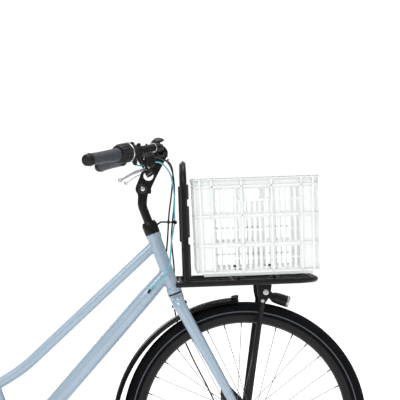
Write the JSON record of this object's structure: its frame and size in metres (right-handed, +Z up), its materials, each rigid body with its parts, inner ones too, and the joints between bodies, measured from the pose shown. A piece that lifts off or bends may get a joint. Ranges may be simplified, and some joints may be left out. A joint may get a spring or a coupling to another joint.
{
  "type": "city bicycle",
  "caption": "Low-step city bicycle with a steering front carrier and crate, hinged stem, brake levers, twist shifter, turning wheels, cranks, pedals, folding centre stand and sliding saddle.",
  "frame": {"origin": "on the ground, midway between the rear mudguard's back edge and the front tyre's front edge, on the bicycle's mid-plane", "axes": "+X forward, +Y to the rider's left, +Z up"},
  "size_m": [1.8578, 0.6556, 1.1765],
  "materials": {
    "frame_paint": "gloss",
    "black_paint": "satin",
    "bright_steel": "satin",
    "alloy": "satin",
    "black_alloy": "satin",
    "dark_alloy": "satin",
    "black_plastic": "matte",
    "guard_plastic": "gloss",
    "white_plastic": "satin",
    "grip_rubber": "matte",
    "tyre_rubber": "matte",
    "cable_housing": "satin",
    "saddle_cover": "satin",
    "lamp_lens": "gloss"
  },
  "bodies": {
    "frame": {"head_tube": "frame_paint", "top_tube": "frame_paint", "down_tube": "frame_paint", "seat_tube": "frame_paint", "bottom_bracket_shell": "frame_paint", "rear_stays": "frame_paint", "headset_cups": "bright_steel", "seat_clamp": "alloy", "rear_mudguard": "guard_plastic", "rear_mudguard_stays": "black_paint", "rear_carrier": "black_paint", "rear_brake": "dark_alloy", "rear_axle": "bright_steel", "chain_guard": "guard_plastic", "chain": "bright_steel", "frame_cables": "cable_housing"},
    "fork_assembly": {"fork": "frame_paint", "headset_cover": "black_plastic", "front_mudguard": "guard_plastic", "front_mudguard_stays": "black_paint", "front_axle": "bright_steel", "front_brake": "dark_alloy", "carrier_platform": "black_paint", "carrier_hoop": "black_paint", "hoop_strips": "black_plastic", "carrier_legs": "black_paint", "carrier_brackets": "black_paint", "crate": "white_plastic", "crate_bolts": "black_plastic", "quill_stem": "black_alloy", "fork_cables": "cable_housing"},
    "headlight": {"headlight_housing": "black_plastic", "headlight_lens": "lamp_lens"},
    "handlebar_assembly": {"stem_head": "black_alloy", "handlebar": "black_alloy", "grips": "grip_rubber", "lever_clamps": "black_paint", "bell_dome": "black_paint", "bar_cables": "cable_housing"},
    "brake_lever_right": {"brake_lever_right": "alloy"},
    "brake_lever_left": {"brake_lever_left": "alloy"},
    "twist_shifter": {"twist_shifter": "black_plastic"},
    "bell_lever": {"bell_lever": "black_plastic"},
    "front_wheel": {"front_tyre": "tyre_rubber", "front_rim": "black_alloy", "front_spokes": "bright_steel", "front_hub": "dark_alloy"},
    "rear_wheel": {"rear_tyre": "tyre_rubber", "rear_rim": "black_alloy", "rear_spokes": "bright_steel", "rear_hub": "dark_alloy"},
    "sprocket": {"sprocket": "bright_steel"},
    "crankset": {"crankset": "dark_alloy", "chainring": "dark_alloy"},
    "pedal_right": {"pedal_right": "black_plastic"},
    "pedal_left": {"pedal_left": "black_plastic"},
    "centre_stand": {"centre_stand": "black_paint"},
    "saddle_assembly": {"seatpost": "alloy", "saddle_pad": "saddle_cover", "saddle_rails": "black_paint"}
  },
  "joints": [
    {"name": "steering", "type": "hinge", "parent": "frame", "child": "fork_assembly", "pos_m": [0.52261, 0, 0.33304], "axis": [-0.3502, 0, 0.9367], "range_deg": [-55, 55], "deforming": ["fork_cables", "frame_cables"]},
    {"name": "headlight_tilt", "type": "hinge", "parent": "fork_assembly", "child": "headlight", "pos_m": [0.655, 0, 0.72], "axis": [0, 1, 0], "range_deg": [-20, 0]},
    {"name": "stem_angle", "type": "hinge", "parent": "fork_assembly", "child": "handlebar_assembly", "pos_m": [0.281, 0, 1.032], "axis": [0, 1, 0], "range_deg": [-25, 15], "deforming": ["bar_cables"]},
    {"name": "brake_lever_right_pull", "type": "hinge", "parent": "handlebar_assembly", "child": "brake_lever_right", "pos_m": [0.293, -0.16, 1.086], "axis": [-0.6448, 0.5765, -0.5019], "range_deg": [0, 18], "stiffness_Nm_per_rad": 1.2, "springref_deg": -17.19},
    {"name": "brake_lever_left_pull", "type": "hinge", "parent": "handlebar_assembly", "child": "brake_lever_left", "pos_m": [0.293, 0.16, 1.086], "axis": [0.6448, 0.5765, 0.5019], "range_deg": [0, 18], "stiffness_Nm_per_rad": 1.2, "springref_deg": -17.19},
    {"name": "gear_twist", "type": "hinge", "parent": "handlebar_assembly", "child": "twist_shifter", "pos_m": [0.22924, -0.21053, 1.12573], "axis": [0.6492, 0.7444, 0.1564], "range_deg": [-75, 75]},
    {"name": "bell_press", "type": "hinge", "parent": "handlebar_assembly", "child": "bell_lever", "pos_m": [0.331, -0.064, 1.141], "axis": [-0.4226, 0, 0.9063], "range_deg": [0, 28], "stiffness_Nm_per_rad": 0.06, "springref_deg": -22.92},
    {"name": "front_wheel_spin", "type": "hinge", "parent": "fork_assembly", "child": "front_wheel", "pos_m": [0.576, 0, 0.353], "axis": [0, 1, 0], "continuous": true},
    {"name": "rear_wheel_spin", "type": "hinge", "parent": "frame", "child": "rear_wheel", "pos_m": [-0.554, 0, 0.353], "axis": [0, 1, 0], "continuous": true},
    {"name": "crank_spin", "type": "hinge", "parent": "frame", "child": "crankset", "pos_m": [-0.08067, 0, 0.29], "axis": [0, 1, 0], "continuous": true, "deforming": ["chain"]},
    {"name": "sprocket_spin", "type": "hinge", "parent": "frame", "child": "sprocket", "pos_m": [-0.554, 0, 0.353], "axis": [0, 1, 0], "continuous": true},
    {"name": "pedal_right_spin", "type": "hinge", "parent": "crankset", "child": "pedal_right", "pos_m": [0.08933, -0.137, 0.29], "axis": [0, 1, 0], "continuous": true},
    {"name": "pedal_left_spin", "type": "hinge", "parent": "crankset", "child": "pedal_left", "pos_m": [-0.25067, 0.137, 0.29], "axis": [0, 1, 0], "continuous": true},
    {"name": "stand_fold", "type": "hinge", "parent": "frame", "child": "centre_stand", "pos_m": [-0.178, 0, 0.255], "axis": [0, 1, 0], "range_deg": [0, 82]},
    {"name": "saddle_height", "type": "slide", "parent": "frame", "child": "saddle_assembly", "axis": [-0.342, 0, 0.9397], "range_m": [-0.08, 0.06]}
  ],
  "couplings": [
    {"joint": "sprocket_spin", "follows": "crank_spin", "ratio": 2}
  ]
}
